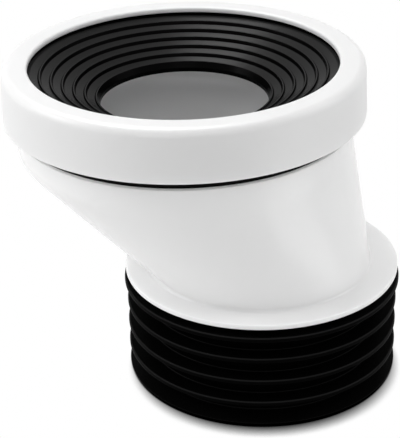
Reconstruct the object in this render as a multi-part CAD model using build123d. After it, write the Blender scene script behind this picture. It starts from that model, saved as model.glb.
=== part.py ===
"""Offset toilet pan connector: a moulded offset body with a finned rubber outlet seal,
a stepped rubber inlet seal over its rim and a retaining collar that clips over both.

Millimetres, +Z up. The outlet axis is the Z axis and the spigot's end is at Z = 0.
The inlet axis is parallel to it, axis_offset away towards -X.
"""

import os

from build123d import *

# Body: spigot, flange, offset wall and socket
axis_offset = 34.0
wall = 3.0
spigot_radius = 45.0
spigot_length = 44.2
spigot_edge = 0.6
flange_radius = 56.0
flange_thickness = 2.1
flange_draft = 0.1
flange_edge = 0.5
foot_fillet = 1.2
slant_height = 46.4
bend_height = 8.0
bend_sections = 4
slant_wall_rise = 1.2
socket_radius = 68.4
shoulder_height = 7.0
rim_wall = 1.9
rim_groove_height = 9.2
rim_rib = 1.0
rim_top_height = 10.8
barb_height = 0.9
barb_ramp = 3.0
barb_place = 26.0

# Gap between curved faces that are pushed or snapped together
fit_gap = 0.1

# Outlet seal
sleeve_wall = 2.4
fin_count = 5
fin_radius = 56.0
top_fin_extra = 0.9
top_fin_drop = 3.7
fin_root = 3.0
fin_tip = 2.2
fin_land = 1.2
fin_sweep = 1.3

# Inlet seal
skirt_wall = 1.8
cap_thickness = 2.4
throat_radius = 34.0
throat_length = 1.8
throat_taper = 2.6
throat_wall = 2.2
throat_step = 0.7
ring_count = 6
first_ledge = 1.4
ring_drop = 2.03
ring_riser = 0.9
riser_lean = 0.45
lip_width = 1.5
lip_flank = 0.2
lip_rise = 0.5
seal_recess = 1.6
mouth_cover = 0.4
membrane = 1.5

# Collar
collar_depth = 21.3
collar_plate = 2.2
collar_wall = 3.2
collar_draft = 0.8
collar_round = 3.2
collar_edge = 0.5
mouth_ledge = 3.0
mouth_edge = 0.4
snap_lead = 1.2

# Heights worked out from the sizes above
flange_top = spigot_length + flange_thickness
bend_end = flange_top + slant_height + bend_height / 2
shoulder = bend_end + shoulder_height
rib_base = shoulder + rim_groove_height
rim_top = rib_base + rim_top_height
cap_top = rim_top + cap_thickness
collar_top = cap_top + collar_plate
collar_base = collar_top - collar_depth

# Radii worked out from the sizes above
bore_radius = spigot_radius - wall
socket_bore = socket_radius - wall
rim_radius = socket_bore + rim_wall
rib_radius = rim_radius + rim_rib
skirt_inner = rim_radius + fit_gap
skirt_outer = skirt_inner + skirt_wall
cap_inner = rib_radius + fit_gap
cap_outer = cap_inner + skirt_wall
snap_base = rib_base - skirt_wall
collar_inner = cap_outer + fit_gap
collar_radius = collar_inner + collar_wall
mouth_radius = socket_bore - mouth_ledge


def turned(outline, rounds=(), bevels=(), axis_x=0.0):
    """Turn a closed outline of (radius, height) points about the vertical axis at axis_x.

    rounds and bevels hold (corner, size) pairs for the corners that are rounded or bevelled.
    """
    profile = make_face(Polyline(*outline, close=True))
    for corner, radius in rounds:
        profile = fillet(profile.vertices().sort_by_distance(corner)[0], radius)
    for corner, length in bevels:
        profile = chamfer(profile.vertices().sort_by_distance(corner)[0], length)
    return Pos(axis_x, 0, 0) * revolve(Plane.XZ * profile, Axis.Z)


def bend_share(climb):
    """Share of the offset that the wall has reached at a climb above the flange.

    It grows in step with the climb and eases to a stop over bend_height.
    """
    over = max(0.0, climb - (slant_height - bend_height / 2))
    return (climb - over**2 / (2 * bend_height)) / slant_height


def slanted_form(inset, rise):
    """Solid inside the offset wall, smaller by inset all round and raised by rise.

    A straight oblique cone climbs from the flange, and a short bend turns it upright.
    """
    straight = slant_height - bend_height / 2
    bend = [straight + bend_height * step / bend_sections for step in range(bend_sections + 1)]
    sections = []
    for climb in [0.0, *bend]:
        share = bend_share(climb)
        radius = spigot_radius + (socket_radius - spigot_radius) * share - inset
        place = Pos(-axis_offset * share, 0, flange_top + rise + climb)
        sections.append(place * Circle(radius))
    return loft(sections[:2]) + loft(sections[1:])


def barb_outline(gap):
    """Points up the spigot's barb, a ramp with a square step on top, stood off by gap."""
    base = spigot_radius + gap
    step = barb_place + gap
    return [(base, barb_place - barb_ramp), (base + barb_height, step), (base, step)]


def make_body():
    """One moulding: spigot with its barb, flange, offset wall, socket and ribbed rim."""
    flange_rim = [(flange_radius, spigot_length), (flange_radius - flange_draft, flange_top)]
    spigot = turned(
        [(0, 0), (spigot_radius, 0)]
        + barb_outline(0.0)
        + [(spigot_radius, spigot_length), *flange_rim, (0, flange_top)],
        bevels=[((spigot_radius, 0), spigot_edge)] + [(corner, flange_edge) for corner in flange_rim],
    )
    socket = turned(
        [
            (0, bend_end),
            (socket_radius, bend_end),
            (socket_radius, shoulder),
            (rim_radius, shoulder),
            (rim_radius, rib_base),
            (rib_radius, rib_base),
            (rib_radius, rim_top),
            (0, rim_top),
        ],
        axis_x=-axis_offset,
    )
    outside = spigot + slanted_form(0.0, 0.0) + socket
    flange_edges = outside.edges().filter_by_position(Axis.Z, flange_top - fit_gap, flange_top + fit_gap)
    outside = fillet(flange_edges.sort_by(SortBy.LENGTH)[0], foot_fillet)

    inner_foot = flange_top + slant_wall_rise
    inner_bend = bend_end + slant_wall_rise
    waterway = Pos(0, 0, inner_foot / 2) * Cylinder(bore_radius, inner_foot)
    waterway += slanted_form(wall, slant_wall_rise)
    waterway += Pos(-axis_offset, 0, (inner_bend + rim_top) / 2) * Cylinder(socket_bore, rim_top - inner_bend)
    return outside - waterway


def fin_outline(tip_radius, tip_top):
    """Points of one fin from its upper root to its lower root.

    The fin sweeps up towards its tip, which ends in a short land of full radius.
    """
    root = spigot_radius + fit_gap + sleeve_wall
    ease = (fin_tip - fin_land) / 2
    root_top = tip_top + (fin_root - fin_tip) / 2 - fin_sweep
    return [
        (root, root_top),
        (tip_radius - ease, tip_top),
        (tip_radius, tip_top - ease),
        (tip_radius, tip_top - ease - fin_land),
        (tip_radius - ease, tip_top - fin_tip),
        (root, root_top - fin_root),
    ]


def make_outlet_seal():
    """Rubber sleeve on the spigot, with a row of fins that fold back in the soil pipe."""
    inner = spigot_radius + fit_gap
    root = inner + sleeve_wall
    pitch = (spigot_length - top_fin_drop - fin_land) / (fin_count - 1)
    outline = [(inner, 0.0)]
    outline += [(inner, barb_place - barb_ramp)] + barb_outline(fit_gap)[1:]
    outline += [(inner, spigot_length), (root, spigot_length)]
    for fin in range(fin_count - 1):
        radius = fin_radius + (top_fin_extra if fin == 0 else 0.0)
        tip_top = spigot_length - top_fin_drop + (fin_tip - fin_land) / 2 - fin * pitch
        outline += fin_outline(radius, tip_top)
    ease = (fin_tip - fin_land) / 2
    outline += [
        (root, fin_root),
        (fin_radius - ease, fin_land + ease),
        (fin_radius, fin_land),
        (fin_radius, 0.0),
    ]
    return turned(outline)


def make_inlet_seal():
    """Rubber seal over the socket's rim, stepping down in rings to the throat.

    Each ring is a sloping tread with a raised lip, and a leaning riser drops to the next tread.
    """
    groove_radius = mouth_radius + mouth_cover
    last_edge = throat_radius + throat_step
    ring_pitch = (groove_radius - first_ledge - last_edge) / ring_count
    outline = [
        (skirt_inner, shoulder),
        (skirt_outer, shoulder),
        (skirt_outer, snap_base),
        (cap_outer, snap_base),
        (cap_outer, cap_top),
        (groove_radius, cap_top),
    ]
    groove = cap_top - seal_recess
    for rings_left in reversed(range(ring_count)):
        edge_radius = last_edge + rings_left * ring_pitch
        tread_end = groove - (ring_drop - ring_riser)
        crest = tread_end + lip_rise
        outline += [
            (groove_radius, groove),
            (edge_radius + lip_width, tread_end),
            (edge_radius + lip_width - lip_flank, crest),
            (edge_radius + riser_lean, crest),
        ]
        groove_radius = edge_radius
        groove -= ring_drop
    throat_top = crest - throat_taper
    throat_base = throat_top - throat_length
    throat_outer = throat_radius + throat_wall
    slope = ring_drop / ring_pitch
    under_throat = groove - membrane + slope * (throat_outer - groove_radius)
    under_rim = socket_bore - fit_gap
    outline += [
        (throat_radius, throat_top),
        (throat_radius, throat_base),
        (throat_outer, throat_base),
        (throat_outer, under_throat),
        (under_rim, rim_top),
        (cap_inner, rim_top),
        (cap_inner, rib_base),
        (skirt_inner, rib_base),
    ]
    return turned(outline, axis_x=-axis_offset)


def make_collar():
    """Cap that clips over the rim, clamps the inlet seal to it and frames the mouth."""
    snap_radius = skirt_outer + fit_gap
    top_corner = (collar_radius - collar_draft, collar_top)
    outline = [
        (snap_radius + snap_lead, collar_base),
        (collar_radius, collar_base),
        top_corner,
        (mouth_radius, collar_top),
        (mouth_radius, cap_top),
        (collar_inner, cap_top),
        (collar_inner, snap_base),
        (snap_radius, snap_base),
        (snap_radius, collar_base + snap_lead),
    ]
    bevels = [
        ((collar_radius, collar_base), collar_edge),
        ((mouth_radius, collar_top), mouth_edge),
    ]
    return turned(outline, [(top_corner, collar_round)], bevels, -axis_offset)


pieces = {
    "body": make_body(),
    "outlet_seal": make_outlet_seal(),
    "inlet_seal": make_inlet_seal(),
    "collar": make_collar(),
}

os.makedirs("parts", exist_ok=True)
for name, piece in pieces.items():
    export_step(piece, f"parts/{name}.step")
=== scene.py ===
"""Studio scene of an offset toilet pan connector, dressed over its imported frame.

Four smooth pieces stand for the frame's four nodes: the moulded body, the finned outlet seal,
the stepped inlet seal and the retaining collar. Their sizes are in millimetres, as on a maker's
drawing, and become metres where a mesh is made.
"""

import logging
import math
from dataclasses import dataclass
from enum import Enum
from typing import Any, Mapping, Sequence, Union

import bmesh
import bpy
from mathutils import Matrix, Vector


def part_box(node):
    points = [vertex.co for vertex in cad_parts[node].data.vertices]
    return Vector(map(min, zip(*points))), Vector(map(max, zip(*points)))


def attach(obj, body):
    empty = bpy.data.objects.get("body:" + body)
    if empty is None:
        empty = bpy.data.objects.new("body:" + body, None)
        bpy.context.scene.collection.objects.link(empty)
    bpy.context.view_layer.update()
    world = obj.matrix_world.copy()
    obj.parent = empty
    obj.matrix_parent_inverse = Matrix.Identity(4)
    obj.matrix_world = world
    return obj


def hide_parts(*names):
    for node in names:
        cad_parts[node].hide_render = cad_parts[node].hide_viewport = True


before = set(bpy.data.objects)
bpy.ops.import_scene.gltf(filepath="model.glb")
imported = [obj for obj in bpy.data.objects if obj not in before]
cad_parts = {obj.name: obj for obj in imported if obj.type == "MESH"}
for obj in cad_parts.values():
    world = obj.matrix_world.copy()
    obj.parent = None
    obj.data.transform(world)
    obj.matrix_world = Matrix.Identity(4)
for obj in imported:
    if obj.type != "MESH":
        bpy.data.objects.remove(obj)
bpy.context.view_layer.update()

MM = 0.001
LOG = logging.getLogger("pan_connector")


class Node(Enum):
    """The frame's nodes, by name."""

    BODY = "body"
    COLLAR = "collar"
    INLET_SEAL = "inlet_seal"
    OUTLET_SEAL = "outlet_seal"


class Wall(Enum):
    """The two faces of the body's offset wall."""

    OUTSIDE = "outside"
    INSIDE = "inside"


# Node trees

Feed = Union["Wire", float, int, bool, Sequence[float], bpy.types.ID]


class Wire:
    """One output of a node, with operators that add Math nodes to its tree."""

    def __init__(self, graph: "Graph", socket: bpy.types.NodeSocket) -> None:
        """Keep the tree and the socket that later nodes link to."""
        self.graph = graph
        self.socket = socket

    def output(self, name: str) -> "Wire":
        """Another output of the same node."""
        return Wire(self.graph, self.socket.node.outputs[name])

    def math(self, operation: str, first: Feed, second: Feed = 0.0) -> "Wire":
        """Add a Math node.

        Args:
            operation: The node's operation.
            first: Its first operand.
            second: Its second operand, for an operation that has one.

        Returns:
            The node's output.
        """
        return self.graph.node("ShaderNodeMath", {"operation": operation}, {0: first, 1: second})

    def __add__(self, other: Feed) -> "Wire":
        """This value plus another."""
        return self.math("ADD", self, other)

    def __radd__(self, other: Feed) -> "Wire":
        """A plain number plus this value."""
        return self.math("ADD", other, self)

    def __sub__(self, other: Feed) -> "Wire":
        """This value less another."""
        return self.math("SUBTRACT", self, other)

    def __rsub__(self, other: Feed) -> "Wire":
        """A plain number less this value."""
        return self.math("SUBTRACT", other, self)

    def __mul__(self, other: Feed) -> "Wire":
        """This value times another."""
        return self.math("MULTIPLY", self, other)

    def __rmul__(self, other: Feed) -> "Wire":
        """A plain number times this value."""
        return self.math("MULTIPLY", other, self)

    def __truediv__(self, other: Feed) -> "Wire":
        """This value over another."""
        return self.math("DIVIDE", self, other)

    def __rtruediv__(self, other: Feed) -> "Wire":
        """A plain number over this value."""
        return self.math("DIVIDE", other, self)

    def __mod__(self, other: Feed) -> "Wire":
        """What is left of this value after whole steps of another."""
        return self.math("MODULO", self, other)

    def __lt__(self, other: Feed) -> "Wire":
        """One where this value is under another, and nought elsewhere."""
        return self.math("LESS_THAN", self, other)

    def floor(self) -> "Wire":
        """This value rounded down."""
        return self.math("FLOOR", self)

    def larger(self, other: Feed) -> "Wire":
        """The larger of this value and another."""
        return self.math("MAXIMUM", self, other)

    def smaller(self, other: Feed) -> "Wire":
        """The smaller of this value and another."""
        return self.math("MINIMUM", self, other)


class Graph:
    """A node tree that is being written."""

    def __init__(self, tree: bpy.types.NodeTree) -> None:
        """Keep the tree that nodes are added to."""
        self.tree = tree

    def feed(self, socket: bpy.types.NodeSocket, value: Feed) -> None:
        """Link a wire to an input, or set the input's own value.

        Args:
            socket: The input to fill.
            value: A wire, or a plain value of the input's type.
        """
        if isinstance(value, Wire):
            self.tree.links.new(value.socket, socket)
        else:
            socket.default_value = value

    def node(
        self,
        kind: str,
        settings: Mapping[str, Any] | None = None,
        inputs: Mapping[Union[int, str], Feed] | None = None,
        output: Union[int, str] = 0,
    ) -> Wire | None:
        """Add one node.

        Args:
            kind: The node's type.
            settings: Its properties, set before its inputs.
            inputs: Values or wires for its inputs, by name or index.
            output: The output to return, by name or index.

        Returns:
            The chosen output, or nothing for a node that ends its tree.
        """
        made = self.tree.nodes.new(kind)
        for name, value in (settings or {}).items():
            setattr(made, name, value)
        for key, value in (inputs or {}).items():
            self.feed(made.inputs[key], value)
        return Wire(self, made.outputs[output]) if made.outputs else None

    def blend(self, share: Feed, first: Feed, second: Feed) -> Wire:
        """Mix two colours.

        Args:
            share: How much of the second colour there is.
            first: The colour at a share of nought.
            second: The colour at a share of one.

        Returns:
            The mixed colour.
        """
        # Inputs 6 and 7 and output 2 are the node's colours. The lower ones are for other types.
        return self.node("ShaderNodeMix", {"data_type": "RGBA"}, {0: share, 6: first, 7: second}, 2)


# Finishes


def grey(level: float) -> tuple[float, float, float, float]:
    """An opaque neutral colour of a linear level."""
    return (level, level, level, 1.0)


@dataclass(frozen=True)
class MouldedFinish:
    """A moulded surface: an even colour with faint clouding, and the fine grain of its tool.

    Scales are counts a metre, and depths are in millimetres. Faces that look up can be painted paler,
    as painted top light and highlight, from a first upward share and in full from a second.
    """

    name: str
    level: float
    cloud_spread: float
    roughness: float
    roughness_spread: float
    specular: float
    grain_depth: float
    translucency: float = 0.0
    scatter_depth: float = 3.0
    painted_top_light: float = 0.0
    painted_top_light_from: float = 0.6
    painted_top_light_to: float = 0.9
    painted_top_light_fade: float = 1.0
    cloud_scale: float = 45.0
    cloud_detail: float = 3.0
    grain_scale: float = 2600.0
    grain_detail: float = 2.0

    def noise(self, place: Wire, scale: float, detail: float) -> Wire:
        """A noise pattern.

        Args:
            place: The coordinates that it is read at.
            scale: Its scale, in counts a metre.
            detail: How many finer layers it has.

        Returns:
            Its level, which lies around a half.
        """
        inputs = {"Vector": place, "Scale": scale, "Detail": detail}
        return place.graph.node("ShaderNodeTexNoise", {"noise_dimensions": "3D"}, inputs, "Fac")

    def upward(self, graph: Graph) -> Wire:
        """Share of the painted top light, which is painted on faces that look up.

        Args:
            graph: The material's tree.

        Returns:
            Nought on steep faces and one on flatter ones. Over a fade below one it wears off again.
        """
        facing = graph.node("ShaderNodeNewGeometry", output="Normal")
        level = graph.node("ShaderNodeSeparateXYZ", {}, {0: facing}, "Z")
        share = (level - self.painted_top_light_from) / (self.painted_top_light_to - self.painted_top_light_from)
        if self.painted_top_light_fade < 1.0:
            share = share.smaller((1 - level) / (1 - self.painted_top_light_fade))
        return share.larger(0.0).smaller(1.0)

    def build(self) -> bpy.types.Material:
        """Make the material.

        Returns:
            A new material, whose patterns follow Object coordinates.
        """
        material = bpy.data.materials.new(self.name)
        material.use_nodes = True
        material.node_tree.nodes.clear()
        graph = Graph(material.node_tree)
        place = graph.node("ShaderNodeTexCoord", output="Object")
        clouds = self.noise(place, self.cloud_scale, self.cloud_detail)
        grain = self.noise(place, self.grain_scale, self.grain_detail)
        dark = grey(self.level * (1 - self.cloud_spread))
        light = grey(min(1.0, self.level * (1 + self.cloud_spread)))
        colour = graph.blend(clouds, dark, light)
        # Painted top light: faces that look up are painted paler, standing in for light from above.
        if self.painted_top_light:
            colour = graph.blend(self.upward(graph), colour, grey(self.painted_top_light))
        roughness = self.roughness + (clouds + grain - 1) * self.roughness_spread
        bump = {"Distance": self.grain_depth * MM, "Height": grain}
        surface = {
            "Base Color": colour,
            "Roughness": roughness,
            "Normal": graph.node("ShaderNodeBump", {}, bump),
            "Specular IOR Level": self.specular,
            "Subsurface Weight": self.translucency,
            "Subsurface Radius": (1.0, 1.0, 1.0),
            "Subsurface Scale": self.scatter_depth * MM,
        }
        shader = graph.node("ShaderNodeBsdfPrincipled", {}, surface)
        graph.node("ShaderNodeOutputMaterial", {}, {"Surface": shader})
        return material


BODY_PLASTIC = MouldedFinish(
    "satin_white_plastic",
    level=0.88,
    cloud_spread=0.012,
    roughness=0.22,
    roughness_spread=0.03,
    specular=0.5,
    grain_depth=0.01,
    translucency=0.9,
)
COLLAR_PLASTIC = MouldedFinish(
    "satin_white_collar_plastic",
    level=0.81,
    cloud_spread=0.012,
    roughness=0.4,
    roughness_spread=0.06,
    specular=0.45,
    grain_depth=0.02,
    translucency=0.9,
)
INLET_RUBBER = MouldedFinish(
    "black_inlet_rubber",
    level=0.001,
    cloud_spread=0.2,
    roughness=0.22,
    roughness_spread=0.05,
    specular=0.02,
    grain_depth=0.01,
    # Painted top light and highlight on the treads that look up.
    painted_top_light=0.017,
    painted_top_light_from=0.78,
    painted_top_light_to=0.92,
)
OUTLET_RUBBER = MouldedFinish(
    "black_outlet_rubber",
    level=0.001,
    cloud_spread=0.2,
    roughness=0.45,
    roughness_spread=0.1,
    specular=0.01,
    grain_depth=0.05,
    # Painted highlight: the fins' sloping upper bevels are painted paler, as thin lit crest lines.
    painted_top_light=0.012,
    painted_top_light_from=0.3,
    painted_top_light_to=0.6,
    painted_top_light_fade=0.85,
)


# Outlines that are turned into pieces

Point = tuple[float, float]


@dataclass(frozen=True)
class Corner:
    """A corner of a turned outline: its radius from the axis, its height and its rounding."""

    radius: float
    height: float
    rounding: float = 0.08

    def shifted(self, step: Point, turns: int) -> "Corner":
        """This corner after some turns of a step in radius and height."""
        return Corner(self.radius + step[0] * turns, self.height + step[1] * turns, self.rounding)

    @property
    def place(self) -> Vector:
        """The corner as a flat vector."""
        return Vector((self.radius, self.height))


def round_off(before: Corner, corner: Corner, after: Corner) -> list[Point]:
    """Points that round one corner, with a support point on the straight at either end.

    The rounding takes no more than side_share of either side. The support points keep smooth
    shading flat on the straights.

    Args:
        before: The corner that comes before.
        corner: The corner to round.
        after: The corner that comes next.

    Returns:
        The points in order, as (radius, height).
    """
    largest_turn = math.radians(15)
    side_share = 0.4
    support = 0.15
    support_share = 0.2
    back = before.place - corner.place
    on = after.place - corner.place
    half = back.angle(on) / 2
    reach = min(corner.rounding / math.tan(half), side_share * back.length, side_share * on.length)
    radius = reach * math.tan(half)
    back_way = back.normalized()
    on_way = on.normalized()
    centre = corner.place + (back_way + on_way).normalized() * (radius / math.sin(half))
    first = corner.place + back_way * reach - centre
    last = corner.place + on_way * reach - centre
    turn = first.angle_signed(last)
    steps = max(2, math.ceil(abs(turn) / largest_turn))
    points = [corner.place + back_way * (reach + min(support, support_share * back.length))]
    for step in range(steps + 1):
        points.append(centre + Matrix.Rotation(-turn * step / steps, 2) @ first)
    points.append(corner.place + on_way * (reach + min(support, support_share * on.length)))
    return [(point.x, point.y) for point in points]


def round_stretch(corners: Sequence[Corner], before: Corner, after: Corner) -> list[Point]:
    """Round a stretch of corners.

    Args:
        corners: The stretch.
        before: The corner that comes before it.
        after: The corner that comes after it.

    Returns:
        The stretch's points, as (radius, height).
    """
    chain = [before, *corners, after]
    points = []
    for place in range(1, len(chain) - 1):
        points += round_off(*chain[place - 1 : place + 2])
    return points


@dataclass(frozen=True)
class Outline:
    """A closed outline in which one stretch, the motif, comes again at a fixed step."""

    head: Sequence[Corner]
    motif: Sequence[Corner] = ()
    tail: Sequence[Corner] = ()
    step: Point = (0.0, 0.0)
    repeats: int = 1

    def stretches(self) -> tuple[list[Point], list[Point], list[Point]]:
        """Round all corners.

        Returns:
            The points of the head, of the first motif and of the tail.
        """
        if not self.motif:
            return round_stretch(self.head, self.head[-1], self.head[0]), [], []
        last = self.motif[-1].shifted(self.step, self.repeats - 1)
        head = round_stretch(self.head, self.tail[-1], self.motif[0])
        motif = round_stretch(self.motif, self.head[-1], self.motif[0].shifted(self.step, 1))
        tail = round_stretch(self.tail, last, self.head[0])
        return head, motif, tail


def tidy_shell(mesh: bpy.types.Mesh) -> None:
    """Turn a closed shell's faces outwards and shade them smooth.

    Args:
        mesh: The shell, whose doubles are merged already.
    """
    shell = bmesh.new()
    shell.from_mesh(mesh)
    bmesh.ops.recalc_face_normals(shell, faces=shell.faces)
    for face in shell.faces:
        face.smooth = True
    shell.to_mesh(mesh)
    shell.free()


class TurnedStack:
    """Geometry Nodes tree that turns an outline about an upright axis and repeats its motif."""

    SOCKETS = {
        "Outline": "NodeSocketGeometry",
        "Head Points": "NodeSocketInt",
        "Motif Points": "NodeSocketInt",
        "Repeats": "NodeSocketInt",
        "Step": "NodeSocketVector",
        "Columns": "NodeSocketInt",
        "Axis X": "NodeSocketFloat",
        "Finish": "NodeSocketMaterial",
    }
    WELD = 1e-6

    def __init__(self) -> None:
        """Build the tree, with named inputs for its sizes."""
        self.tree = bpy.data.node_groups.new("turned_stack", "GeometryNodeTree")
        self.keys: dict[str, str] = {}
        for name, kind in self.SOCKETS.items():
            socket = self.tree.interface.new_socket(name=name, in_out="INPUT", socket_type=kind)
            self.keys[name] = socket.identifier
        self.tree.interface.new_socket(name="Piece", in_out="OUTPUT", socket_type="NodeSocketGeometry")
        self.write_nodes()

    def write_nodes(self) -> None:
        """Add the nodes: a grid of rows and columns, each row placed by a point of the outline."""
        graph = Graph(self.tree)
        outline = graph.node("NodeGroupInput")
        head = outline.output("Head Points")
        motif = outline.output("Motif Points")
        repeats = outline.output("Repeats")
        columns = outline.output("Columns")
        domain = {"component": "MESH"}
        count = graph.node("GeometryNodeAttributeDomainSize", domain, {0: outline}, "Point Count")
        rows = count + (repeats - 1) * motif
        sheet_size = {"Vertices X": rows + 1, "Vertices Y": columns + 1}
        sheet = graph.node("GeometryNodeMeshGrid", {}, sheet_size, "Mesh")

        index = graph.node("GeometryNodeInputIndex")
        row = (index / (columns + 1)).floor()
        column = index - row * (columns + 1)
        turned_row = row % rows
        turn = ((turned_row - head) / motif).floor().larger(0.0).smaller(repeats - 1)
        in_motif = turned_row < head + repeats * motif
        sample = {
            "Geometry": outline,
            "Value": graph.node("GeometryNodeInputPosition"),
            "Index": turned_row - turn * motif,
        }
        point = graph.node("GeometryNodeSampleIndex", {"data_type": "FLOAT_VECTOR"}, sample)
        scaled = {0: outline.output("Step"), "Scale": turn * in_motif}
        shift = graph.node("ShaderNodeVectorMath", {"operation": "SCALE"}, scaled)
        moved = graph.node("ShaderNodeVectorMath", {"operation": "ADD"}, {0: point, 1: shift})
        radius = graph.node("ShaderNodeSeparateXYZ", {}, {0: moved}, "X")
        angle = column * math.tau / columns
        position = {
            "X": outline.output("Axis X") + radius * angle.math("COSINE", angle),
            "Y": radius * angle.math("SINE", angle),
            "Z": radius.output("Z"),
        }
        placed = {0: sheet, "Position": graph.node("ShaderNodeCombineXYZ", {}, position)}
        turned = graph.node("GeometryNodeSetPosition", {}, placed)
        welded = graph.node("GeometryNodeMergeByDistance", {}, {0: turned, "Distance": self.WELD})
        smooth = graph.node("GeometryNodeSetShadeSmooth", {}, {0: welded})
        real = graph.node("GeometryNodeRealizeInstances", {}, {0: smooth})
        dressed = graph.node("GeometryNodeSetMaterial", {}, {0: real, "Material": outline.output("Finish")})
        graph.node("NodeGroupOutput", {}, {0: dressed})

    def make(
        self, name: str, outline: Outline, axis_x: float, columns: int, finish: bpy.types.Material
    ) -> bpy.types.Object:
        """Turn one outline.

        Args:
            name: The piece's name.
            outline: Its outline, in millimetres.
            axis_x: The X of the upright axis that it is turned about, in millimetres.
            columns: How many faces go round.
            finish: Its material.

        Returns:
            The piece, as a plain mesh with no modifier.
        """
        head, motif, tail = outline.stretches()
        mesh = bpy.data.meshes.new(f"{name}_outline")
        points = [(radius * MM, 0.0, height * MM) for radius, height in head + motif + tail]
        mesh.from_pydata(points, [], [])
        piece = bpy.data.objects.new(name, mesh)
        bpy.context.scene.collection.objects.link(piece)
        modifier = piece.modifiers.new("turned", "NODES")
        modifier.node_group = self.tree
        sizes = {
            "Head Points": len(head),
            "Motif Points": len(motif),
            "Repeats": outline.repeats,
            "Step": (outline.step[0] * MM, 0.0, outline.step[1] * MM),
            "Columns": columns,
            "Axis X": axis_x * MM,
            "Finish": finish,
        }
        for size, value in sizes.items():
            modifier[self.keys[size]] = value
        graph = bpy.context.evaluated_depsgraph_get()
        piece_mesh = bpy.data.meshes.new_from_object(piece.evaluated_get(graph), depsgraph=graph)
        piece.modifiers.remove(modifier)
        piece.data = piece_mesh
        piece_mesh.name = name
        bpy.data.meshes.remove(mesh)
        tidy_shell(piece_mesh)
        return piece


# Pieces of the connector


@dataclass(frozen=True)
class Layout:
    """Sizes that the pieces share, in millimetres. The ones without a value come from the frame.

    The shoulder stands lower than the frame's by seam_drop, so that the black line under the
    collar is seen as wide as on the real part.
    """

    axis_offset: float
    spigot_length: float
    socket_radius: float
    shoulder: float
    rim_top: float
    cap_top: float
    cap_outer: float
    collar_top: float
    collar_base: float
    collar_radius: float
    spigot_radius: float = 45.0
    wall: float = 3.0
    rim_wall: float = 1.9
    rim_rib: float = 1.0
    rib_height: float = 10.8
    skirt_wall: float = 1.8
    mouth_ledge: float = 3.0
    barb_height: float = 0.9
    barb_ramp: float = 3.0
    barb_place: float = 26.0
    fit_gap: float = 0.1
    seam_drop: float = 0.8
    columns: int = 192

    @classmethod
    def from_frame(cls) -> "Layout":
        """Read the main sizes off the frame's nodes.

        Returns:
            The shared sizes.
        """
        body = [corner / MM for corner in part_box(Node.BODY.value)]
        collar = [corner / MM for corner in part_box(Node.COLLAR.value)]
        inlet = [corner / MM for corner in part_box(Node.INLET_SEAL.value)]
        outlet = [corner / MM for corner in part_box(Node.OUTLET_SEAL.value)]
        return cls(
            axis_offset=-(collar[0].x + collar[1].x) / 2,
            spigot_length=outlet[1].z,
            socket_radius=body[1].y,
            shoulder=inlet[0].z - cls.seam_drop,
            rim_top=body[1].z,
            cap_top=inlet[1].z,
            cap_outer=inlet[1].y,
            collar_top=collar[1].z,
            collar_base=collar[0].z,
            collar_radius=collar[1].y,
        )

    @property
    def bore_radius(self) -> float:
        """Radius of the waterway in the spigot."""
        return self.spigot_radius - self.wall

    @property
    def socket_bore(self) -> float:
        """Radius of the waterway in the socket."""
        return self.socket_radius - self.wall

    @property
    def rim_radius(self) -> float:
        """Radius of the socket's rim under its rib."""
        return self.socket_bore + self.rim_wall

    @property
    def rib_radius(self) -> float:
        """Radius of the rib round the rim."""
        return self.rim_radius + self.rim_rib

    @property
    def rib_base(self) -> float:
        """Height of the rib's underside."""
        return self.rim_top - self.rib_height

    @property
    def skirt_outer(self) -> float:
        """Radius of the inlet seal's skirt, which grips the rim under the rib."""
        return self.rim_radius + self.fit_gap + self.skirt_wall

    @property
    def snap_base(self) -> float:
        """Height at which the collar's snap catches under the seal."""
        return self.rib_base - self.skirt_wall

    @property
    def mouth_radius(self) -> float:
        """Radius of the collar's mouth."""
        return self.socket_bore - self.mouth_ledge


def dress(piece: bpy.types.Object, node: Node) -> bpy.types.Object:
    """Hang a finished piece on the frame in place of its node.

    Args:
        piece: The piece, at the origin.
        node: The node that it stands for.

    Returns:
        The same piece.
    """
    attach(piece, "root")
    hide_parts(node.value)
    LOG.info("%s: %d faces", piece.name, len(piece.data.polygons))
    return piece


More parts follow.
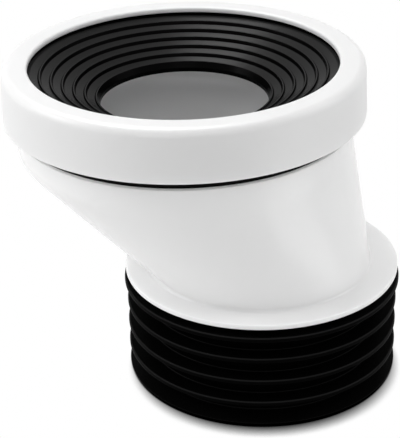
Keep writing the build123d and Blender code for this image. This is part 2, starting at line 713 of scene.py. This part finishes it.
@dataclass(frozen=True)
class Body:
    """The white moulding: spigot, flange, offset wall and socket."""

    layout: Layout
    flange_radius: float = 56.0
    flange_thickness: float = 2.1
    flange_draft: float = 0.1
    flange_edge: float = 0.5
    spigot_edge: float = 0.6
    foot_fillet: float = 1.2
    foot_rows: int = 10
    slant_height: float = 46.4
    slant_rows: int = 8
    bend_height: float = 8.0
    bend_rows: int = 10
    inner_rise: float = 1.2
    corner_support: float = 0.4
    shoulder_bevel: float = 0.7
    shoulder_edge: float = 0.3

    @property
    def flange_top(self) -> float:
        """Height of the flange's upper face."""
        return self.layout.spigot_length + self.flange_thickness

    @property
    def straight(self) -> float:
        """Climb of the straight part of the offset wall."""
        return self.slant_height - self.bend_height / 2

    @property
    def bend_climb(self) -> float:
        """Climb at which the offset wall stands upright."""
        return self.slant_height + self.bend_height / 2

    def share(self, climb: float) -> float:
        """Share of the offset reached at a climb, which eases to a stop over the bend."""
        over = max(0.0, climb - self.straight)
        return (climb - over**2 / (2 * self.bend_height)) / self.slant_height

    def point(self, centre_x: float, radius: float, height: float, column: int) -> Vector:
        """One point of a level circle.

        Args:
            centre_x: The X of the circle's centre.
            radius: Its radius.
            height: Its height.
            column: The point's place in the round.

        Returns:
            The point.
        """
        angle = math.tau * column / self.layout.columns
        return Vector((centre_x + radius * math.cos(angle), radius * math.sin(angle), height))

    def ring(self, centre_x: float, radius: float, height: float) -> list[Vector]:
        """Points of one level circle.

        Args:
            centre_x: The X of its centre.
            radius: Its radius.
            height: Its height.

        Returns:
            A point for each column.
        """
        return [self.point(centre_x, radius, height, column) for column in range(self.layout.columns)]

    def section(self, climb: float, wall: Wall) -> tuple[float, float, float]:
        """Circle of the offset wall at a climb above its foot.

        Args:
            climb: The climb.
            wall: The face of the wall.

        Returns:
            The circle's centre X, radius and height.
        """
        share = self.share(climb)
        radius = self.layout.spigot_radius + (self.layout.socket_radius - self.layout.spigot_radius) * share
        height = self.flange_top + climb
        if wall is Wall.INSIDE:
            radius -= self.layout.wall
            height += self.inner_rise
        return -self.layout.axis_offset * share, radius, height

    def foot_row(self, share: float) -> tuple[list[Vector], list[float]]:
        """One row of the rounded foot between the flange and the leaning wall.

        The wall leans by a different amount all round, so the rounding is worked out column
        by column.

        Args:
            share: Share of the turn, from nought on the flange to one on the wall.

        Returns:
            A point for each column, and the climb at which the rounding meets the wall there.
        """
        layout = self.layout
        drift = Vector((-layout.axis_offset / self.slant_height, 0, 1))
        spread = (layout.socket_radius - layout.spigot_radius) / self.slant_height
        points = []
        climbs = []
        for column in range(layout.columns):
            angle = math.tau * column / layout.columns
            outward = Vector((math.cos(angle), math.sin(angle), 0))
            rise = drift + outward * spread
            lean = rise.dot(outward)
            corner = math.atan2(1, lean)
            reach = self.foot_fillet / math.tan(corner / 2)
            climb = reach * math.sin(corner)
            first = -math.pi / 2
            last = math.atan2(climb - self.foot_fillet, reach * math.cos(corner) - reach)
            if last > first:
                last -= math.tau
            turn = first + (last - first) * share
            out = reach + self.foot_fillet * math.cos(turn)
            up = self.foot_fillet + self.foot_fillet * math.sin(turn)
            base = outward * layout.spigot_radius + Vector((0, 0, self.flange_top))
            points.append(base + outward * out + (rise - outward * lean) * up)
            climbs.append(climb)
        return points, climbs

    def spigot_rows(self) -> list[list[Vector]]:
        """Rows from the bore's lower edge, round the spigot and its barb, to the flange's top."""
        layout = self.layout
        corners = [
            Corner(layout.bore_radius, 0.0, self.spigot_edge),
            Corner(layout.spigot_radius, 0.0, self.spigot_edge),
            Corner(layout.spigot_radius, layout.barb_place - layout.barb_ramp),
            Corner(layout.spigot_radius + layout.barb_height, layout.barb_place),
            Corner(layout.spigot_radius, layout.barb_place),
            Corner(layout.spigot_radius, layout.spigot_length),
            Corner(self.flange_radius, layout.spigot_length, self.flange_edge),
            Corner(self.flange_radius - self.flange_draft, self.flange_top, self.flange_edge),
        ]
        before = Corner(layout.bore_radius, self.flange_top)
        after = Corner(layout.spigot_radius, self.flange_top)
        points = round_stretch(corners, before, after)
        return [self.ring(0.0, radius, height) for radius, height in points]

    def wall_rows(self) -> list[list[Vector]]:
        """Rows up the outside of the foot, the leaning wall and its bend."""
        foot = [self.foot_row(step / self.foot_rows) for step in range(self.foot_rows + 1)]
        rows = [points for points, climbs in foot]
        foot_climbs = foot[-1][1]
        for step in range(1, self.slant_rows + 1):
            share = step / self.slant_rows
            points = []
            for column, climb in enumerate(foot_climbs):
                circle = self.section(climb + (self.straight - climb) * share, Wall.OUTSIDE)
                points.append(self.point(*circle, column))
            rows.append(points)
        for step in range(1, self.bend_rows + 1):
            climb = self.straight + self.bend_height * step / self.bend_rows
            rows.append(self.ring(*self.section(climb, Wall.OUTSIDE)))
        return rows

    def socket_rows(self) -> list[list[Vector]]:
        """Rows up the socket, over its ribbed rim and into its bore."""
        layout = self.layout
        corners = [
            Corner(layout.socket_radius, layout.shoulder - self.shoulder_bevel, self.shoulder_edge),
            Corner(layout.rim_radius, layout.shoulder),
            Corner(layout.rim_radius, layout.rib_base),
            Corner(layout.rib_radius, layout.rib_base),
            Corner(layout.rib_radius, layout.rim_top),
            Corner(layout.socket_bore, layout.rim_top),
        ]
        before = Corner(layout.socket_radius, self.flange_top + self.bend_climb)
        after = Corner(layout.socket_bore, self.flange_top + self.bend_climb + self.inner_rise)
        points = round_stretch(corners, before, after)
        return [self.ring(-layout.axis_offset, radius, height) for radius, height in points]

    def bore_rows(self) -> list[list[Vector]]:
        """Rows down the inside of the bend and the leaning wall to the spigot's bore."""
        low = [self.straight * step / self.slant_rows for step in range(1, self.slant_rows)]
        bend_step = self.bend_height / self.bend_rows
        bend = [self.straight + bend_step * step for step in range(self.bend_rows + 1)]
        climbs = [0.0, self.corner_support, *low, *bend]
        rows = [self.ring(*self.section(climb, Wall.INSIDE)) for climb in reversed(climbs)]
        foot = self.flange_top + self.inner_rise - self.corner_support
        return rows + [self.ring(0.0, self.layout.bore_radius, foot)]

    def build(self, finish: bpy.types.Material) -> bpy.types.Object:
        """Make the moulding as one closed shell.

        Args:
            finish: Its material.

        Returns:
            The dressed piece.
        """
        rows = self.spigot_rows() + self.wall_rows() + self.socket_rows() + self.bore_rows()
        count = self.layout.columns
        points = [point * MM for row in rows for point in row]
        faces = []
        for row in range(len(rows)):
            for column in range(count):
                right = (column + 1) % count
                start = row * count
                above = (row + 1) % len(rows) * count
                faces.append((start + column, start + right, above + right, above + column))
        mesh = bpy.data.meshes.new("connector_body")
        mesh.from_pydata(points, [], faces)
        mesh.materials.append(finish)
        tidy_shell(mesh)
        piece = bpy.data.objects.new("connector_body", mesh)
        bpy.context.scene.collection.objects.link(piece)
        return dress(piece, Node.BODY)


@dataclass(frozen=True)
class OutletSeal:
    """The rubber sleeve on the spigot, with its row of fins."""

    layout: Layout
    sleeve_wall: float = 2.4
    fin_count: int = 5
    fin_radius: float = 55.7
    top_fin_extra: float = 0.9
    top_fin_drop: float = 3.7
    fin_root: float = 3.0
    fin_tip: float = 2.2
    fin_land: float = 1.2
    fin_sweep: float = 1.3
    foot_taper: float = 3.0
    tip_rounding: float = 0.4
    foot_rounding: float = 0.2
    root_rounding: float = 0.5

    @property
    def root(self) -> float:
        """Radius of the sleeve that the fins stand on."""
        return self.layout.spigot_radius + self.layout.fit_gap + self.sleeve_wall

    @property
    def ease(self) -> float:
        """Length of the bevel on either side of a fin's land."""
        return (self.fin_tip - self.fin_land) / 2

    def fin(self, tip_radius: float, tip_top: float) -> list[Corner]:
        """Corners of one fin, from its upper root to its lower root.

        Args:
            tip_radius: Radius of its land.
            tip_top: Height of its tip's upper face.

        Returns:
            The corners in order.
        """
        root_top = tip_top + (self.fin_root - self.fin_tip) / 2 - self.fin_sweep
        return [
            Corner(self.root, root_top, self.root_rounding),
            Corner(tip_radius - self.ease, tip_top, self.tip_rounding),
            Corner(tip_radius, tip_top - self.ease, self.tip_rounding),
            Corner(tip_radius, tip_top - self.ease - self.fin_land, self.tip_rounding),
            Corner(tip_radius - self.ease, tip_top - self.fin_tip, self.tip_rounding),
            Corner(self.root, root_top - self.fin_root, self.root_rounding),
        ]

    def outline(self) -> Outline:
        """The sleeve's outline: one fin is the motif, between the top fin and the foot fin."""
        layout = self.layout
        inner = layout.spigot_radius + layout.fit_gap
        barb_step = layout.barb_place + layout.fit_gap
        pitch = (layout.spigot_length - self.top_fin_drop - self.fin_land) / (self.fin_count - 1)
        top = layout.spigot_length - self.top_fin_drop + self.ease
        head = [
            Corner(inner, 0.0),
            Corner(inner, layout.barb_place - layout.barb_ramp),
            Corner(inner + layout.barb_height, barb_step),
            Corner(inner, barb_step),
            Corner(inner, layout.spigot_length),
            Corner(self.root, layout.spigot_length),
            *self.fin(self.fin_radius + self.top_fin_extra, top),
        ]
        tail = [
            Corner(self.root, self.fin_root, self.root_rounding),
            Corner(self.fin_radius, self.fin_land + self.ease),
            Corner(self.fin_radius, self.fin_land, self.tip_rounding),
            Corner(self.fin_radius - self.foot_taper, 0.0, self.foot_rounding),
        ]
        motif = self.fin(self.fin_radius, top - pitch)
        return Outline(head, motif, tail, (0.0, -pitch), self.fin_count - 2)

    def build(self, stack: TurnedStack, finish: bpy.types.Material) -> bpy.types.Object:
        """Turn and dress the sleeve.

        Args:
            stack: The tree that turns outlines.
            finish: Its material.

        Returns:
            The dressed piece.
        """
        piece = stack.make("outlet_fin_seal", self.outline(), 0.0, self.layout.columns, finish)
        return dress(piece, Node.OUTLET_SEAL)


@dataclass(frozen=True)
class InletSeal:
    """The rubber seal that hooks over the socket's rim and steps down in rings to its throat.

    Its skirt leans in to a narrow toe on the shoulder.
    """

    layout: Layout
    throat_radius: float = 34.0
    throat_length: float = 1.8
    throat_taper: float = 2.6
    throat_wall: float = 2.2
    throat_step: float = 0.7
    throat_rounding: float = 0.5
    ring_count: int = 6
    first_ledge: float = 1.4
    ring_drop: float = 2.03
    ring_riser: float = 0.85
    riser_lean: float = 0.45
    lip_width: float = 1.5
    lip_flank: float = 0.55
    lip_rise: float = 0.6
    lip_rounding: float = 0.25
    seal_recess: float = 1.6
    mouth_cover: float = 0.4
    membrane: float = 1.5
    skirt_toe: float = 0.3

    @property
    def mouth(self) -> float:
        """Radius at which the rings start, under the collar's edge."""
        return self.layout.mouth_radius + self.mouth_cover

    @property
    def last_edge(self) -> float:
        """Radius of the last ring's edge, over the throat."""
        return self.throat_radius + self.throat_step

    @property
    def pitch(self) -> float:
        """Radial width of one ring."""
        return (self.mouth - self.first_ledge - self.last_edge) / self.ring_count

    def ring(self, number: int) -> list[Corner]:
        """Corners of one ring: its groove, its tread's end and both sides of its raised lip.

        Args:
            number: The ring's place, from nought at the mouth.

        Returns:
            The corners in order.
        """
        edge = self.last_edge + (self.ring_count - 1 - number) * self.pitch
        tread = self.layout.cap_top - self.seal_recess - number * self.ring_drop
        low = tread - (self.ring_drop - self.ring_riser)
        crest = low + self.lip_rise
        return [
            Corner(edge + self.pitch, tread),
            Corner(edge + self.lip_width, low),
            Corner(edge + self.lip_width - self.lip_flank, crest, self.lip_rounding),
            Corner(edge + self.riser_lean, crest, self.lip_rounding),
        ]

    def outline(self) -> Outline:
        """The seal's outline: the rings between the first and the last repeat as its motif."""
        layout = self.layout
        skirt_inner = layout.skirt_outer - layout.skirt_wall
        cap_inner = layout.cap_outer - layout.skirt_wall
        last_ring = self.ring(self.ring_count - 1)
        throat_top = last_ring[-1].height - self.throat_taper
        throat_base = throat_top - self.throat_length
        throat_outer = self.throat_radius + self.throat_wall
        last_groove = layout.cap_top - self.seal_recess - self.ring_count * self.ring_drop
        slope = self.ring_drop / self.pitch
        under_throat = last_groove - self.membrane + slope * (throat_outer - self.last_edge)
        head = [
            Corner(skirt_inner, layout.shoulder),
            Corner(skirt_inner + self.skirt_toe, layout.shoulder),
            Corner(layout.skirt_outer, layout.collar_base),
            Corner(layout.skirt_outer, layout.snap_base),
            Corner(layout.cap_outer, layout.snap_base),
            Corner(layout.cap_outer, layout.cap_top),
            Corner(self.mouth, layout.cap_top),
            Corner(self.mouth, layout.cap_top - self.seal_recess),
            *self.ring(0),
        ]
        tail = [
            *last_ring,
            Corner(self.throat_radius, throat_top, self.throat_rounding),
            Corner(self.throat_radius, throat_base, self.throat_rounding),
            Corner(throat_outer, throat_base, self.throat_rounding),
            Corner(throat_outer, under_throat, self.throat_rounding),
            Corner(layout.socket_bore - layout.fit_gap, layout.rim_top),
            Corner(cap_inner, layout.rim_top),
            Corner(cap_inner, layout.rib_base),
            Corner(skirt_inner, layout.rib_base),
        ]
        return Outline(head, self.ring(1), tail, (-self.pitch, -self.ring_drop), self.ring_count - 2)

    def build(self, stack: TurnedStack, finish: bpy.types.Material) -> bpy.types.Object:
        """Turn and dress the seal.

        Args:
            stack: The tree that turns outlines.
            finish: Its material.

        Returns:
            The dressed piece.
        """
        layout = self.layout
        piece = stack.make("inlet_ring_seal", self.outline(), -layout.axis_offset, layout.columns, finish)
        return dress(piece, Node.INLET_SEAL)


@dataclass(frozen=True)
class Collar:
    """The white retaining ring that clips over the seal and the rim and frames the mouth."""

    layout: Layout
    draft: float = 0.8
    top_round: float = 3.2
    base_edge: float = 0.6
    mouth_edge: float = 1.1
    snap_lead: float = 1.2

    def outline(self) -> Outline:
        """The collar's outline, which has no motif."""
        layout = self.layout
        snap = layout.skirt_outer + layout.fit_gap
        inner = layout.cap_outer + layout.fit_gap
        return Outline(
            [
                Corner(snap + self.snap_lead, layout.collar_base),
                Corner(layout.collar_radius, layout.collar_base, self.base_edge),
                Corner(layout.collar_radius - self.draft, layout.collar_top, self.top_round),
                Corner(layout.mouth_radius, layout.collar_top, self.mouth_edge),
                Corner(layout.mouth_radius, layout.cap_top),
                Corner(inner, layout.cap_top),
                Corner(inner, layout.snap_base),
                Corner(snap, layout.snap_base),
                Corner(snap, layout.collar_base + self.snap_lead),
            ]
        )

    def build(self, stack: TurnedStack, finish: bpy.types.Material) -> bpy.types.Object:
        """Turn and dress the collar.

        Args:
            stack: The tree that turns outlines.
            finish: Its material.

        Returns:
            The dressed piece.
        """
        layout = self.layout
        piece = stack.make("retaining_collar", self.outline(), -layout.axis_offset, layout.columns, finish)
        return dress(piece, Node.COLLAR)


# Studio


@dataclass(frozen=True)
class Softbox:
    """A flat soft lamp that faces its aim. Places and sizes are in metres.

    A lamp for gloss only is a card that shows as a soft reflection and lights nothing else.
    """

    name: str
    place: tuple[float, float, float]
    size: tuple[float, float]
    power: float
    aim: tuple[float, float, float] = (-0.02, 0.0, 0.07)
    gloss_only: bool = False

    def build(self) -> bpy.types.Object:
        """Hang the lamp.

        Returns:
            The lamp's object.
        """
        light = bpy.data.lights.new(self.name, "AREA")
        light.shape = "RECTANGLE"
        light.size, light.size_y = self.size
        light.energy = self.power
        lamp = bpy.data.objects.new(self.name, light)
        lamp.location = self.place
        lamp.rotation_euler = (Vector(self.aim) - Vector(self.place)).to_track_quat("-Z", "Y").to_euler()
        lamp.visible_diffuse = not self.gloss_only
        bpy.context.scene.collection.objects.link(lamp)
        return lamp


@dataclass(frozen=True)
class Studio:
    """Pale floor, soft lamps, white surroundings and the camera at the photograph's place."""

    lamps: Sequence[Softbox] = (
        Softbox("top_softbox", (-0.02, 0.0, 1.27), (0.8, 0.8), 2.6),
        Softbox("left_softbox", (-0.92, -0.47, 0.71), (0.6, 0.6), 6.3),
        Softbox("right_softbox", (0.84, 0.45, 0.78), (0.6, 0.6), 3.15),
        Softbox("front_softbox", (0.45, -0.9, 0.71), (0.6, 0.6), 1.0),
        Softbox("back_softbox", (-0.44, 0.55, 1.05), (0.6, 0.6), 1.2),
        Softbox("ring_light", (-0.46, 0.28, 1.15), (0.5, 0.5), 16.0, gloss_only=True),
        Softbox(
            "gloss_card", (0.32, 0.01, 0.003), (0.2, 0.2), 0.21, aim=(0.32, 0.01, 1.0), gloss_only=True
        ),
    )
    surround: float = 0.475
    floor_half: float = 4.0
    floor_level: float = 0.9
    shadow_bearing: float = -55.0
    shadow_tilt: float = 30.0
    shadow_reach: float = 0.025
    shadow_dark: float = 0.27
    shadow_light: float = 0.6
    shadow_samples: int = 64
    floor_gap: float = 0.00005
    camera_place: tuple[float, float, float] = (0.24577, -0.50720, 0.34605)
    camera_bearing: float = 28.383
    camera_pitch: float = 63.434
    camera_roll: float = -1.431
    lens: float = 126.823
    sensor_width: float = 36.0
    clip_start: float = 0.01

    def seen_rays(self, graph: Graph) -> Wire:
        """One on rays that show a surface to the camera, directly or in a gloss."""
        camera = graph.node("ShaderNodeLightPath", {}, {}, "Is Camera Ray")
        glossy = camera.output("Is Glossy Ray")
        return camera.larger(glossy).larger(camera.output("Is Transmission Ray"))

    def floor(self) -> bpy.types.Object:
        """Lay the floor: matte for the light, and white where it is seen, down to a painted contact shadow.

        The painted shadow is darkest where the object hides most of the sky that the tilted normal faces.

        Returns:
            The floor.
        """
        half = self.floor_half
        corners = [(-half, -half), (half, -half), (half, half), (-half, half)]
        mesh = bpy.data.meshes.new("studio_floor")
        mesh.from_pydata([(x, y, -self.floor_gap) for x, y in corners], [], [(0, 1, 2, 3)])
        material = bpy.data.materials.new("white_floor")
        material.use_nodes = True
        material.node_tree.nodes.clear()
        graph = Graph(material.node_tree)
        matte = graph.node("ShaderNodeBsdfDiffuse", {}, {"Color": grey(self.floor_level)})
        tilt = math.radians(self.shadow_tilt)
        away = math.radians(self.shadow_bearing + 180)
        flat = math.sin(tilt)
        facing = {"X": flat * math.cos(away), "Y": flat * math.sin(away), "Z": math.cos(tilt)}
        normal = graph.node("ShaderNodeCombineXYZ", {}, facing)
        occlusion = {"Distance": self.shadow_reach, "Normal": normal}
        sky = graph.node("ShaderNodeAmbientOcclusion", {"samples": self.shadow_samples}, occlusion, "AO")
        open_share = (sky - self.shadow_dark) / (self.shadow_light - self.shadow_dark)
        bounded = open_share.larger(0.0).smaller(1.0)
        # Painted shadow: the seen white is darkened by the occlusion share near the object.
        white = graph.node("ShaderNodeEmission", {}, {"Color": bounded * bounded})
        shown = graph.node("ShaderNodeMixShader", {}, {0: self.seen_rays(graph), 1: matte, 2: white})
        graph.node("ShaderNodeOutputMaterial", {}, {"Surface": shown})
        mesh.materials.append(material)
        floor = bpy.data.objects.new("studio_floor", mesh)
        bpy.context.scene.collection.objects.link(floor)
        return floor

    def world(self) -> None:
        """Surround the object with dim white light that looks white where it is seen."""
        world = bpy.data.worlds.new("white_surround")
        world.use_nodes = True
        world.node_tree.nodes.clear()
        graph = Graph(world.node_tree)
        soft = graph.node("ShaderNodeBackground", {}, {"Color": grey(1.0), "Strength": self.surround})
        white = graph.node("ShaderNodeBackground", {}, {"Color": grey(1.0), "Strength": 1.0})
        shown = graph.node("ShaderNodeMixShader", {}, {0: self.seen_rays(graph), 1: soft, 2: white})
        graph.node("ShaderNodeOutputWorld", {}, {"Surface": shown})
        bpy.context.scene.world = world

    def camera(self) -> bpy.types.Object:
        """Set up the camera.

        Returns:
            The camera's object, which is also the scene's camera.
        """
        data = bpy.data.cameras.new("photo_camera")
        data.lens = self.lens
        data.sensor_width = self.sensor_width
        data.clip_start = self.clip_start
        camera = bpy.data.objects.new("photo_camera", data)
        bearing = Matrix.Rotation(math.radians(self.camera_bearing), 4, "Z")
        pitch = Matrix.Rotation(math.radians(self.camera_pitch), 4, "X")
        roll = Matrix.Rotation(math.radians(self.camera_roll), 4, "Z")
        camera.matrix_world = Matrix.Translation(self.camera_place) @ bearing @ pitch @ roll
        bpy.context.scene.collection.objects.link(camera)
        bpy.context.scene.camera = camera
        return camera

    def build(self) -> None:
        """Set up floor, surroundings, lamps and camera."""
        self.floor()
        self.world()
        for lamp in self.lamps:
            lamp.build()
        self.camera()
        bpy.context.scene.view_settings.view_transform = "Standard"
        LOG.info("studio: %d lamps", len(self.lamps))


def main() -> None:
    """Build each piece in order, then the studio around them."""
    logging.basicConfig(level=logging.INFO, format="%(name)s: %(message)s")
    layout = Layout.from_frame()
    stack = TurnedStack()
    Body(layout).build(BODY_PLASTIC.build())
    OutletSeal(layout).build(stack, OUTLET_RUBBER.build())
    InletSeal(layout).build(stack, INLET_RUBBER.build())
    Collar(layout).build(stack, COLLAR_PLASTIC.build())
    Studio().build()


if __name__ == "__main__":
    main()
